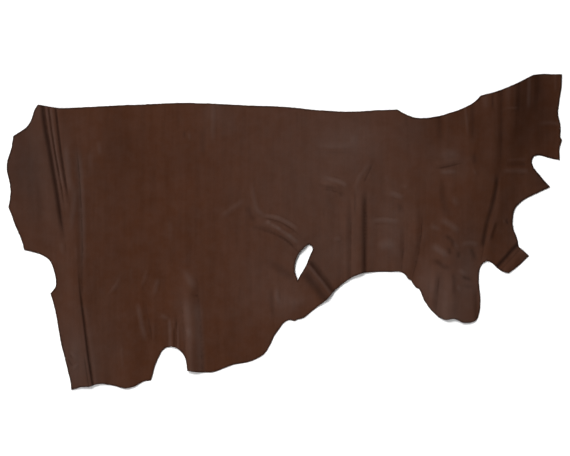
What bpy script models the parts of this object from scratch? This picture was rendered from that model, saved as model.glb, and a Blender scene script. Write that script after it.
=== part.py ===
"""A side of leather: half of a cowhide, split down the back, lying grain side up on a flat surface.

It is one piece, cut round an uneven outline with one hole in the flank. The sheet is 2 mm thick. It lies flat
where it touches the surface and rises into folds, which the chart below lists one to a row.

The frame is metres with +Z up. X runs from the butt to the neck, Y from the belly to the back, and the origin is
on the surface, under the middle of the hide's length and width.
"""

from collections import namedtuple

import bpy
from mathutils import Vector
from mathutils.geometry import delaunay_2d_cdt

# Driving dimensions, in metres
LENGTH = 2.22
THICKNESS = 0.002

# The chart's own units: millimetres from the butt's furthest point and up from the belly's lowest
CHART_LENGTH = 2220.0
CHART_WIDTH = 1263.0
METRES = LENGTH / CHART_LENGTH

# Spacing of the mesh, in chart millimetres
EDGE_STEP = 15.0
HOLE_STEP = 11.0
LATTICE_STEP = 46.0
STATION_STEP = 30.0
CREST_STEP = 10.0

# How near a new point may come to one that is there, in chart millimetres
FOLD_GAP = 7.5
LATTICE_GAP = 25.0
SAME_PLACE = 0.0001

# Where the rows of points along a fold lie, from its right foot over the crest to its left, as shares of its reach
ROWS_ACROSS = (-1.0, -0.5, 0.0, 0.5, 1.0)

# One stretch of the outline. It starts at a sharp corner and then runs smoothly through its points.
Stretch = namedtuple("Stretch", "name points")

OUTLINE = (
    Stretch("back", (
        (125, 1141), (164, 1134), (200, 1128), (272, 1129), (408, 1136), (552, 1142), (700, 1148), (832, 1144),
        (972, 1137), (1112, 1132), (1244, 1119), (1372, 1113), (1492, 1119))),
    Stretch("neck hollow", (
        (1560, 1121), (1588, 1106), (1616, 1093), (1660, 1087), (1716, 1093), (1780, 1111), (1836, 1132),
        (1872, 1154))),
    Stretch("neck back", (
        (1893, 1176), (1952, 1192), (2020, 1218), (2072, 1243), (2104, 1259), (2136, 1263), (2180, 1263))),
    Stretch("neck end", (
        (2220, 1262), (2217, 1208), (2208, 1148), (2204, 1104), (2211, 1068), (2214, 1036))),
    Stretch("neck nick", ((2212, 1012),)),
    Stretch("neck corner", ((2220, 1000), (2210, 964))),
    Stretch("neck notch", (
        (2210, 919), (2160, 930), (2124, 938), (2106, 934), (2099, 919), (2101, 902))),
    Stretch("jaw", ((2106, 890), (2136, 852))),
    Stretch("throat", (
        (2172, 811), (2132, 792), (2088, 772), (2052, 748), (2030, 722), (2023, 692), (2022, 664), (2028, 636),
        (2038, 612))),
    Stretch("shank side", ((2047, 573),)),
    Stretch("shank end", ((2088, 536), (2042, 493))),
    Stretch("foreleg", (
        (2005, 466), (1976, 476), (1956, 491), (1936, 510), (1918, 516), (1903, 506), (1890, 482), (1886, 452),
        (1888, 412), (1893, 364), (1892, 328), (1886, 300), (1876, 278), (1852, 269), (1820, 270), (1802, 279),
        (1784, 285), (1760, 280), (1732, 287), (1704, 311), (1682, 337), (1664, 368), (1653, 396))),
    Stretch("elbow nick", ((1648, 403), (1635, 410))),
    Stretch("elbow step", ((1616, 438),)),
    Stretch("belly arch", (
        (1604, 444), (1592, 461), (1574, 472), (1536, 472), (1472, 472), (1420, 466), (1380, 450), (1340, 423),
        (1308, 394), (1276, 359), (1248, 337), (1216, 311), (1184, 288), (1164, 282))),
    Stretch("flank", (
        (1151, 275), (1134, 279), (1115, 274), (1092, 248), (1070, 217), (1051, 178), (1031, 146), (1000, 125),
        (960, 110), (908, 101), (868, 87), (828, 72), (780, 70))),
    Stretch("hind notch", (
        (722, 77), (719, 104), (711, 132), (694, 156), (658, 174), (630, 165), (608, 134), (591, 92), (581, 56))),
    Stretch("hind toe", (
        (575, 38), (548, 34), (516, 17), (472, 6), (436, 15), (396, 23), (360, 23), (336, 15), (296, 11))),
    Stretch("lower butt", ((258, 0), (255, 26), (241, 88), (218, 180), (197, 296), (182, 360))),
    Stretch("tail notch", (
        (173, 386), (190, 405), (197, 422), (194, 452), (184, 489), (168, 521), (146, 537), (112, 549))),
    Stretch("butt end", ((69, 560), (58, 600), (36, 651), (18, 700))),
    Stretch("butt hollow", (
        (5, 731), (12, 764), (14, 804), (8, 840), (0, 876), (2, 916), (13, 950), (22, 988))),
    Stretch("butt shoulder", ((25, 1015), (54, 1034), (81, 1054), (98, 1082), (111, 1120))),
)

HOLE = (
    Stretch("hole in the flank", (
        (1163, 439), (1152, 472), (1153, 508), (1164, 541), (1184, 564), (1210, 581), (1221, 570), (1211, 536),
        (1192, 490), (1172, 457))),
)

# One fold: its crest line, how far its foot reaches to the left and right of one who walks along the crest, how
# high the crest rises, and the shares of its length over which it fades in and out. Most crests run down from the
# back, so that left is towards the neck. A fold that runs off the hide's edge doesn't fade there.
Fold = namedtuple("Fold", "name crest left right rise fade_in fade_out")

# Broad swells, which the mesh's plain lattice is fine enough for
SWELLS = (
    Fold("swell under the fold lines", ((180, 1150), (232, 760), (276, 400), (340, -10)), 95, 95, 6.0, 0.0, 0.0),
    Fold("swell over the hind notch", ((700, 60), (716, 300), (690, 560)), 95, 95, 6.0, 0.0, 0.4),
    Fold("swell above the flank", ((920, 760), (1090, 640), (1290, 380)), 95, 95, 6.0, 0.4, 0.0),
    Fold("swell over the belly arch", ((1400, 450), (1404, 660), (1420, 900)), 85, 85, 5.0, 0.0, 0.4),
    Fold("swell over the foreleg", ((1800, 250), (1780, 500), (1800, 700)), 105, 105, 7.0, 0.0, 0.4),
    Fold("swell down the neck", ((2050, 1270), (1990, 960), (1930, 560)), 90, 90, 7.0, 0.0, 0.2),
    Fold("swell at the shoulder", ((1230, 830), (1340, 805), (1400, 820)), 60, 60, 2.5, 0.4, 0.3),
    Fold("swell on the rump", ((480, -10), (500, 200), (470, 420)), 70, 70, 4.0, 0.0, 0.5),
)

# Folds narrow enough to need their own rows of points
FOLDS = (
    Fold("long fold line", (
        (252, 1080), (272, 880), (284, 680), (286, 560), (284, 452), (292, 336), (304, 240), (316, 144), (338, -10)),
        16, 60, 3.0, 0.2, 0.0),
    Fold("short fold line", (
        (122, 1165), (126, 1128), (150, 960), (178, 800), (202, 640), (216, 540)), 28, 60, 5.0, 0.0, 0.3),
    Fold("crimp in the fold", ((182, 1150), (206, 960), (231, 800), (252, 660)), 12, 12, 2.0, 0.0, 0.3),
    Fold("wave over the belly arch", ((1408, 870), (1414, 760), (1414, 600), (1412, 435)), 24, 50, 4.2, 0.3, 0.0),
    Fold("second wave", ((1356, 800), (1360, 640), (1358, 400)), 18, 34, 2.0, 0.4, 0.0),
    Fold("ridge to the hole", ((980, 672), (1052, 652), (1124, 616), (1176, 572)), 34, 22, 4.0, 0.3, 0.0),
    Fold("fold from the hole to the belly", ((1192, 512), (1232, 444), (1278, 378), (1298, 348)),
         20, 40, 3.6, 0.0, 0.0),
    Fold("ridge into the hind notch", ((724, 512), (732, 400), (744, 240), (752, 60)), 34, 40, 5.5, 0.4, 0.0),
    Fold("crease in the hind notch", ((664, 330), (668, 250), (668, 150)), 10, 16, 2.2, 0.4, 0.0),
    Fold("crease on the rump", ((532, 376), (546, 300), (560, 230), (568, 170)), 16, 16, 1.8, 0.3, 0.3),
    Fold("throat fold", ((1954, 1215), (1954, 1080), (1952, 960), (1944, 860), (1932, 780)), 26, 60, 4.5, 0.0, 0.3),
    Fold("lip of the throat crease", ((1976, 840), (1964, 740), (1948, 672), (1928, 600), (1912, 515)),
         40, 16, 2.4, 0.3, 0.0),
    Fold("neck fold", ((2030, 1245), (2028, 1120), (2022, 980)), 20, 36, 3.0, 0.0, 0.4),
    Fold("fold at the neck end", ((2100, 1270), (2102, 1180), (2096, 1090)), 24, 20, 3.0, 0.0, 0.4),
    Fold("ridge at the shoulder", ((1244, 820), (1292, 816), (1348, 800)), 26, 18, 3.4, 0.35, 0.35),
    Fold("ridge on the chest", ((1696, 896), (1772, 910), (1836, 926)), 20, 14, 2.2, 0.35, 0.35),
    Fold("fold at the elbow", ((1632, 780), (1642, 664), (1634, 584), (1610, 470), (1602, 430)),
         18, 44, 2.6, 0.35, 0.0),
    Fold("fold inside the elbow", ((1572, 660), (1570, 560), (1556, 440)), 16, 30, 1.6, 0.35, 0.0),
    Fold("ridge down the foreleg", ((1784, 490), (1782, 380), (1770, 265)), 30, 44, 2.6, 0.35, 0.0),
    Fold("ridge beside it", ((1712, 490), (1708, 400), (1696, 290)), 16, 24, 1.8, 0.35, 0.0),
    Fold("fold across the shank", ((1980, 462), (2030, 516), (2076, 566)), 16, 30, 2.4, 0.0, 0.0),
)


def smooth_line(points, step):
    """Points about step apart on a smooth curve through the given ones, the last one included."""
    knots = [Vector(p) for p in points]
    spans = [(b - a).length for a, b in zip(knots, knots[1:])]
    slopes = [(b - a) / span for a, b, span in zip(knots, knots[1:], spans)]
    tangents = [slopes[0]]
    for i in range(1, len(knots) - 1):
        before, after = spans[i - 1], spans[i]
        tangents.append((slopes[i - 1] * after + slopes[i] * before) / (before + after))
    tangents.append(slopes[-1])
    line = []
    for i, span in enumerate(spans):
        count = max(1, round(span / step))
        for k in range(count):
            t = k / count
            start = knots[i] * (2 * t**3 - 3 * t**2 + 1) + tangents[i] * span * (t**3 - 2 * t**2 + t)
            end = knots[i + 1] * (3 * t**2 - 2 * t**3) + tangents[i + 1] * span * (t**3 - t**2)
            line.append(start + end)
    line.append(knots[-1])
    return line


def closed_loop(stretches, step):
    """The points of a closed outline, with a sharp corner at the start of each stretch."""
    loop = []
    for i, stretch in enumerate(stretches):
        corner = stretches[(i + 1) % len(stretches)].points[0]
        loop += smooth_line((*stretch.points, corner), step)[:-1]
    return loop


def is_inside(point, loop):
    """Whether the point is inside the loop."""
    inside = False
    for a, b in zip(loop, loop[1:] + loop[:1]):
        if (a.y > point.y) != (b.y > point.y):
            crossing = a.x + (point.y - a.y) * (b.x - a.x) / (b.y - a.y)
            inside ^= point.x < crossing
    return inside


def nearest_on(line, point):
    """How far a point is from a line of points, at which share of its length, and whether on its left."""
    best, place, on_left, travelled = float("inf"), 0.0, False, 0.0
    for a, b in zip(line, line[1:]):
        along = b - a
        t = min(1.0, max(0.0, (point - a).dot(along) / along.length_squared))
        off = point - a - along * t
        if off.length < best:
            best, place = off.length, travelled + t * along.length
            on_left = along.x * off.y > along.y * off.x
        travelled += along.length
    return best, place / travelled, on_left


def eased(t):
    """0 below 0, 1 above 1, and a smooth step between."""
    t = min(1.0, max(0.0, t))
    return t * t * (3 - 2 * t)


def height_of(fold, line, point):
    """How high one fold lifts the sheet at a point, in chart millimetres."""
    distance, place, on_left = nearest_on(line, point)
    reach = fold.left if on_left else fold.right
    if distance >= reach:
        return 0.0
    across = (1 - (distance / reach) ** 2) ** 2
    starting = eased(place / fold.fade_in) if fold.fade_in else 1.0
    ending = eased((1 - place) / fold.fade_out) if fold.fade_out else 1.0
    return fold.rise * across * starting * ending


def relief(point, crests):
    """The height of the sheet's underside above the surface, in chart millimetres."""
    return sum(height_of(fold, line, point) for fold, line in crests)


def rows_along(fold):
    """Rows of points that follow a fold: one list for each place across it."""
    line = smooth_line(fold.crest, STATION_STEP)
    rows = [[] for _ in ROWS_ACROSS]
    for i, point in enumerate(line):
        along = (line[min(i + 1, len(line) - 1)] - line[max(i - 1, 0)]).normalized()
        leftward = Vector((-along.y, along.x))
        for row, share in zip(rows, ROWS_ACROSS):
            row.append(point + leftward * share * (fold.left if share > 0 else fold.right))
    return rows


class Planner:
    """Collects the flat layout's points, and the edges between them, each kept clear of what is there."""

    def __init__(self, edge, hole):
        self.edge = edge
        self.hole = hole
        self.points = []
        self.edges = []
        self.taken = {}
        for loop in (edge, hole):
            first = len(self.points)
            for i, point in enumerate(loop):
                after = (i + 1) % len(loop)
                self.add(point)
                self.take((point + loop[after]) / 2)
                self.edges.append((first + i, first + after))

    def cell(self, point):
        """The square of the search grid that a point is in."""
        return int(point.x // LATTICE_STEP), int(point.y // LATTICE_STEP)

    def take(self, point):
        """Marks a place that other points keep clear of."""
        self.taken.setdefault(self.cell(point), []).append(point)

    def add(self, point):
        """Adds a point to the layout and returns its number."""
        self.take(point)
        self.points.append(point)
        return len(self.points) - 1

    def is_clear(self, point, gap):
        """Whether the point is on the leather and no taken place is nearer than the gap."""
        column, row = self.cell(point)
        for i in (column - 1, column, column + 1):
            for j in (row - 1, row, row + 1):
                for other in self.taken.get((i, j), ()):
                    if (other - point).length < gap:
                        return False
        return is_inside(point, self.edge) and not is_inside(point, self.hole)

    def add_fold(self, fold):
        """Rows of points along a fold, joined along each row where they follow each other."""
        fresh = []
        for row in rows_along(fold):
            fresh.append([point if self.is_clear(point, FOLD_GAP) else None for point in row])
        for row in fresh:
            before = None
            for point in row:
                index = None if point is None else self.add(point)
                if before is not None and index is not None:
                    self.edges.append((before, index))
                before = index

    def add_lattice(self):
        """Fills the rest with a triangular lattice."""
        rise = LATTICE_STEP * 3**0.5 / 2
        for row in range(int(CHART_WIDTH / rise) + 1):
            shift = LATTICE_STEP / 2 * (row % 2)
            for column in range(int(CHART_LENGTH / LATTICE_STEP) + 1):
                point = Vector((column * LATTICE_STEP + shift, row * rise))
                if self.is_clear(point, LATTICE_GAP):
                    self.add(point)


def flat_layout():
    """The points and triangles of the flat sheet, in chart millimetres."""
    planner = Planner(closed_loop(OUTLINE, EDGE_STEP), closed_loop(HOLE, HOLE_STEP))
    for fold in FOLDS:
        planner.add_fold(fold)
    planner.add_lattice()
    points, _, faces, *_ = delaunay_2d_cdt(planner.points, planner.edges, [], 0, SAME_PLACE, False)
    kept = []
    for face in faces:
        centre = sum((points[i] for i in face), Vector((0, 0))) / 3
        if is_inside(centre, planner.edge) and not is_inside(centre, planner.hole):
            kept.append(face)
    return points, kept


def leather():
    """Dark brown leather with a soft shine."""
    material = bpy.data.materials.new("leather")
    material.use_nodes = True
    shader = material.node_tree.nodes["Principled BSDF"]
    shader.inputs["Base Color"].default_value = (0.055, 0.026, 0.017, 1)
    shader.inputs["Roughness"].default_value = 0.5
    shader.inputs["Metallic"].default_value = 0.0
    return material


def make_hide():
    """The sheet: its underside from the chart, thickened upward."""
    points, faces = flat_layout()
    crests = [(fold, smooth_line(fold.crest, CREST_STEP)) for fold in SWELLS + FOLDS]
    vertices = []
    for point in points:
        height = relief(point, crests)
        x = (point.x - CHART_LENGTH / 2) * METRES
        y = (point.y - CHART_WIDTH / 2) * METRES
        vertices.append((x, y, height * METRES))
    mesh = bpy.data.meshes.new("hide")
    mesh.from_pydata(vertices, [], faces)
    mesh.materials.append(leather())
    mesh.shade_smooth()
    hide = bpy.data.objects.new("hide", mesh)
    bpy.context.scene.collection.objects.link(hide)
    thicken = hide.modifiers.new("thickness", "SOLIDIFY")
    thicken.thickness = THICKNESS
    thicken.offset = 1.0
    thicken.use_even_offset = True
    return hide


for old in list(bpy.data.objects):
    bpy.data.objects.remove(old)
make_hide()
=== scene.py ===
# %% [markdown]
# # A side of leather
#
# A side is half a cowhide: the tanner splits the skin down the back, so it has one long straight edge,
# the back, and one wandering edge along the belly, with the neck at one end and the butt at the other.
# This one lies grain side up on a pale floor. It has been folded and hung, so it keeps soft folds and
# finer creases.
#
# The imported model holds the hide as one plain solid. This lesson keeps that solid's outline and folds,
# and makes a finer sheet on them: creases, a ragged cut edge, leather grain above, suede below.

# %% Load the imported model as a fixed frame
import math
from collections import namedtuple

import bpy
import numpy as np
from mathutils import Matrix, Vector, noise
from mathutils.geometry import delaunay_2d_cdt


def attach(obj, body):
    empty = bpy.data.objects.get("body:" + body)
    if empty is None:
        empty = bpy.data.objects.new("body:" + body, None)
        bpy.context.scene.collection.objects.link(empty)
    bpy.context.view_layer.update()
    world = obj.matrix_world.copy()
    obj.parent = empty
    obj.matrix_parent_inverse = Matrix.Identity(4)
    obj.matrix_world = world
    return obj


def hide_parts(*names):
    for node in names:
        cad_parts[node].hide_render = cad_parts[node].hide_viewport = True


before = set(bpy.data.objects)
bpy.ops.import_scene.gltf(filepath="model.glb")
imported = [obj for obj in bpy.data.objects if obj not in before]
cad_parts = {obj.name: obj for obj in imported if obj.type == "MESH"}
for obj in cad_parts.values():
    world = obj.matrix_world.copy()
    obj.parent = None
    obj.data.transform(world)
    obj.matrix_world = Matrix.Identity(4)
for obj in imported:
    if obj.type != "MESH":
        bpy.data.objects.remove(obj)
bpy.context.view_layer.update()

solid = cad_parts["hide"]

# %% [markdown]
# ## A chart to place things on
#
# Placing creases is easier on a flat chart than in world coordinates. The chart counts millimetres from
# the butt's furthest point and up from the belly's lowest one, as a leatherworker would measure with a
# tape. One small function, to_chart, reads places of the model's frame as chart millimetres. Its
# counterpart, in_metres, comes further down, where the mesh is made.

# %% The chart and its smooth lines
MM = 0.001
CHART_CENTRE = np.array([1110.0, 631.5])
THICKNESS = 2.0


def to_chart(places):
    """Chart millimetres of places in the frame."""
    return np.asarray(places)[:, :2] / MM + CHART_CENTRE


def smooth_line(points, step):
    """Points about step apart on a smooth curve through the given ones, the last one included."""
    knots = np.asarray(points, float)
    spans = np.linalg.norm(np.diff(knots, axis=0), axis=1)
    slopes = np.diff(knots, axis=0) / spans[:, None]
    before, after = spans[:-1, None], spans[1:, None]
    middle = (slopes[:-1] * after + slopes[1:] * before) / (before + after)
    tangents = np.vstack([slopes[:1], middle, slopes[-1:]])
    pieces = []
    for i, span in enumerate(spans):
        count = max(1, round(span / step))
        t = np.arange(count)[:, None] / count
        start = knots[i] * (2 * t**3 - 3 * t**2 + 1) + tangents[i] * span * (t**3 - 2 * t**2 + t)
        end = knots[i + 1] * (3 * t**2 - 2 * t**3) + tangents[i + 1] * span * (t**3 - t**2)
        pieces.append(start + end)
    return np.vstack([*pieces, knots[-1:]])


print("one metre on the chart is", 1 / MM, "units")

# %% [markdown]
# ## The cut outline
#
# The outline could be drawn again here, but then it could stray from the solid. Instead the sheet borrows
# the lower rim of the solid: the edges where a face that looks down meets a face that looks sideways.
# Chained end to end they make two closed loops, the hide's edge and the hole in its flank. Each loop is
# drawn again as a smooth curve between its sharp corners, with a point every few millimetres.

# %% Read the rim of the solid
RIM_STEP = 5.0
EDGE_CORNER = math.radians(32)
HOLE_CORNER = math.radians(75)


def rim_loops(mesh):
    """The closed lower rims of a thin solid, in chart millimetres, the longest first."""
    places = np.array([v.co for v in mesh.vertices])
    _, kept, same = np.unique(np.round(places, 6), axis=0, return_index=True, return_inverse=True)
    same = same.ravel()
    under, side = set(), set()
    for face in mesh.polygons:
        corners = [int(same[i]) for i in face.vertices]
        edges = set(zip(corners, corners[1:] + corners[:1]))
        if face.normal.z < -0.5:
            under |= edges
        elif face.normal.z < 0.5:
            side |= edges
    follows = {a: b for a, b in sorted(under) if (b, a) in side}
    loops = []
    while follows:
        start, place = follows.popitem()
        loop = [start]
        while place != start:
            loop.append(place)
            place = follows.pop(place)
        loops.append(to_chart(places[kept[loop]]))
    return sorted(loops, key=len, reverse=True)


def redrawn(loop, corner_angle):
    """The loop with a point every RIM_STEP, smooth between the corners that turn by more than the angle."""
    steps = np.roll(loop, -1, axis=0) - loop
    heading = np.arctan2(steps[:, 1], steps[:, 0])
    turn = (heading - np.roll(heading, 1) + math.pi) % (2 * math.pi) - math.pi
    corners = np.flatnonzero(abs(turn) > corner_angle)
    loop = np.roll(loop, -corners[0], axis=0)
    corners = [*(corners - corners[0]), len(loop)]
    closed = np.vstack([loop, loop[:1]])
    pieces = [smooth_line(closed[a:b + 1], RIM_STEP)[:-1] for a, b in zip(corners, corners[1:])]
    return np.vstack(pieces)


edge, hole = [redrawn(loop, angle) for loop, angle in zip(rim_loops(solid.data), (EDGE_CORNER, HOLE_CORNER))]
edge_length = np.linalg.norm(np.diff(np.vstack([edge, edge[:1]]), axis=0), axis=1).sum()
print(f"the cut edge is {edge_length / 1000:.2f} m long in {len(edge)} points, and the hole has {len(hole)}")

# %% [markdown]
# ## A ragged edge
#
# A hide is trimmed by hand with a knife, and its edge dries a little uneven. So each rim point moves in
# or out by less than two millimetres, by a noise of two sizes. Noise read from the place itself, and not
# from a random list, gives the same edge on every run.

# %% Roughen the rim
RAGGED = 0.9
RAG_SIZES = (9.0, 34.0)
RAG_SEED = 3.7


def noise_at(points, size, seed):
    """Smooth noise between about -1 and 1, with lumps of the given size, at chart points."""
    return np.array([noise.noise(Vector((x / size, y / size, seed))) for x, y in points])


def outward(loop):
    """Unit steps that point away from the leather at each point of a rim loop."""
    along = np.roll(loop, -1, axis=0) - np.roll(loop, 1, axis=0)
    along /= np.linalg.norm(along, axis=1)[:, None]
    return np.column_stack([-along[:, 1], along[:, 0]])


def ragged(loop):
    """The loop with its points moved in and out by noise."""
    shift = sum(noise_at(loop, size, RAG_SEED) for size in RAG_SIZES) * RAGGED
    return loop + outward(loop) * shift[:, None]


edge, hole = ragged(edge), ragged(hole)
print("the edge now wanders by up to", RAGGED * len(RAG_SIZES), "mm")

# %% [markdown]
# ## The folds
#
# The solid's own folds come first. Each is a crest line with a reach to its left and to its right, a
# rise, and the shares of its length over which it fades. Most crests run down from the back, so left is
# towards the neck, and most are steeper on that side. The tables repeat the solid's, row for row, because
# the finer sheet needs the true smooth heights and not the solid's flat triangles. The check further down
# shows that the two agree.

# %% Swells and folds of the solid
Fold = namedtuple("Fold", "name crest left right rise fade_in fade_out")

SWELLS = (
    Fold("swell under the fold lines", (
        (180, 1150), (232, 760), (276, 400), (340, -10)), 95, 95, 6.0, 0.0, 0.0),
    Fold("swell over the hind notch", ((700, 60), (716, 300), (690, 560)), 95, 95, 6.0, 0.0, 0.4),
    Fold("swell above the flank", ((920, 760), (1090, 640), (1290, 380)), 95, 95, 6.0, 0.4, 0.0),
    Fold("swell over the belly arch", ((1400, 450), (1404, 660), (1420, 900)), 85, 85, 5.0, 0.0, 0.4),
    Fold("swell over the foreleg", ((1800, 250), (1780, 500), (1800, 700)), 105, 105, 7.0, 0.0, 0.4),
    Fold("swell down the neck", ((2050, 1270), (1990, 960), (1930, 560)), 90, 90, 7.0, 0.0, 0.2),
    Fold("swell at the shoulder", ((1230, 830), (1340, 805), (1400, 820)), 60, 60, 2.5, 0.4, 0.3),
    Fold("swell on the rump", ((480, -10), (500, 200), (470, 420)), 70, 70, 4.0, 0.0, 0.5),
)

FOLDS = (
    Fold("long fold line", (
        (252, 1080), (272, 880), (284, 680), (286, 560), (284, 452), (292, 336),
        (304, 240), (316, 144), (338, -10)),
        16, 60, 3.0, 0.2, 0.0),
    Fold("short fold line", (
        (122, 1165), (126, 1128), (150, 960), (178, 800), (202, 640), (216, 540)), 28, 60, 5.0, 0.0, 0.3),
    Fold("crimp in the fold", ((182, 1150), (206, 960), (231, 800), (252, 660)), 12, 12, 2.0, 0.0, 0.3),
    Fold("wave over the belly arch", (
        (1408, 870), (1414, 760), (1414, 600), (1412, 435)), 24, 50, 4.2, 0.3, 0.0),
    Fold("second wave", ((1356, 800), (1360, 640), (1358, 400)), 18, 34, 2.0, 0.4, 0.0),
    Fold("ridge to the hole", ((980, 672), (1052, 652), (1124, 616), (1176, 572)), 34, 22, 4.0, 0.3, 0.0),
    Fold("fold from the hole to the belly", ((1192, 512), (1232, 444), (1278, 378), (1298, 348)),
         20, 40, 3.6, 0.0, 0.0),
    Fold("ridge into the hind notch", ((724, 512), (732, 400), (744, 240), (752, 60)), 34, 40, 5.5, 0.4, 0.0),
    Fold("crease in the hind notch", ((664, 330), (668, 250), (668, 150)), 10, 16, 2.2, 0.4, 0.0),
    Fold("crease on the rump", ((532, 376), (546, 300), (560, 230), (568, 170)), 16, 16, 1.8, 0.3, 0.3),
    Fold("throat fold", (
        (1954, 1215), (1954, 1080), (1952, 960), (1944, 860), (1932, 780)), 26, 60, 4.5, 0.0, 0.3),
    Fold("lip of the throat crease", ((1976, 840), (1964, 740), (1948, 672), (1928, 600), (1912, 515)),
         40, 16, 2.4, 0.3, 0.0),
    Fold("neck fold", ((2030, 1245), (2028, 1120), (2022, 980)), 20, 36, 3.0, 0.0, 0.4),
    Fold("fold at the neck end", ((2100, 1270), (2102, 1180), (2096, 1090)), 24, 20, 3.0, 0.0, 0.4),
    Fold("ridge at the shoulder", ((1244, 820), (1292, 816), (1348, 800)), 26, 18, 3.4, 0.35, 0.35),
    Fold("ridge on the chest", ((1696, 896), (1772, 910), (1836, 926)), 20, 14, 2.2, 0.35, 0.35),
    Fold("fold at the elbow", ((1632, 780), (1642, 664), (1634, 584), (1610, 470), (1602, 430)),
         18, 44, 2.6, 0.35, 0.0),
    Fold("fold inside the elbow", ((1572, 660), (1570, 560), (1556, 440)), 16, 30, 1.6, 0.35, 0.0),
    Fold("ridge down the foreleg", ((1784, 490), (1782, 380), (1770, 265)), 30, 44, 2.6, 0.35, 0.0),
    Fold("ridge beside it", ((1712, 490), (1708, 400), (1696, 290)), 16, 24, 1.8, 0.35, 0.0),
    Fold("fold across the shank", ((1980, 462), (2030, 516), (2076, 566)), 16, 30, 2.4, 0.0, 0.0),
)

CREST_STEP = 10.0


def eased(t):
    """0 below 0, 1 above 1, and a smooth step between."""
    t = np.clip(t, 0, 1)
    return t * t * (3 - 2 * t)


def nearest_on(line, points):
    """For each point: its distance from the line, the share of the length there, and its side, +1 or -1."""
    lengths = np.linalg.norm(np.diff(line, axis=0), axis=1)
    distance = np.full(len(points), np.inf)
    share, side = np.zeros(len(points)), np.ones(len(points))
    travelled = 0.0
    for a, b, length in zip(line, line[1:], lengths):
        along = (b - a) / length
        t = np.clip((points - a) @ along, 0, length)
        off = points - a - t[:, None] * along
        far = np.hypot(off[:, 0], off[:, 1])
        nearer = far < distance
        distance[nearer] = far[nearer]
        share[nearer] = (travelled + t[nearer]) / lengths.sum()
        side[nearer] = np.sign(along[0] * off[nearer, 1] - along[1] * off[nearer, 0])
        travelled += length
    return distance, share, side


def faded(share, fade_in, fade_out):
    """How strong a fold is at a share of its length."""
    starting = eased(share / fade_in) if fade_in else 1.0
    ending = eased((1 - share) / fade_out) if fade_out else 1.0
    return starting * ending


def add_form(heights, points, form, step, shape):
    """Adds one fold or crease to the heights, and looks only at the points that it can reach."""
    line = smooth_line(form.crest, step)
    widest = max(form.left, form.right)
    low, high = line.min(0) - widest, line.max(0) + widest
    near = np.flatnonzero(((points > low) & (points < high)).all(1))
    distance, share, side = nearest_on(line, points[near])
    across = side * distance / np.where(side > 0, form.left, form.right)
    inside = abs(across) < 1
    near, share, across = near[inside], share[inside], across[inside]
    heights[near] += shape(form, across) * faded(share, form.fade_in, form.fade_out)


def fold_shape(fold, across):
    """The cross-section of a fold: a round crest that leaves the floor gently."""
    return fold.rise * (1 - across**2) ** 2


def fold_heights(points):
    """How high the solid's underside is at chart points, in millimetres."""
    heights = np.zeros(len(points))
    for fold in SWELLS + FOLDS:
        add_form(heights, points, fold, CREST_STEP, fold_shape)
    return heights


corners = np.array([v.co for v in solid.data.vertices])
looks_down = np.zeros(len(corners), bool)
for face in solid.data.polygons:
    if face.normal.z < -0.5:
        looks_down[list(face.vertices)] = True
gap = fold_heights(to_chart(corners[looks_down])) - corners[looks_down][:, 2] / MM
print(f"{len(SWELLS)} swells and {len(FOLDS)} folds, within {abs(gap).max():.3f} mm of the solid's underside")

# %% [markdown]
# ## The creases
#
# Between the folds the leather is marked by finer lines, one to five centimetres wide. They show as pairs
# of a light and a dark line, because one flank faces the light and the other turns away. Bump mapping
# could fake them, but it leaves a flat edge and a flat silhouette, so they are true ridges and troughs.
# Each row reads like a fold's, with a rise below zero for a trough, and the deepest troughs keep a sharp
# bottom. It has a painted light too: below zero the line is painted darker, a painted shade, and above
# zero paler, a painted highlight. The creases are listed one by one, as uneven as they lie. A fade
# that a row leaves out is the usual one, FADE.

# %% Creases
FADE = 0.4
Crease = namedtuple("Crease", "name crest left right rise tone fade_in fade_out", defaults=(FADE, FADE))

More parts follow.
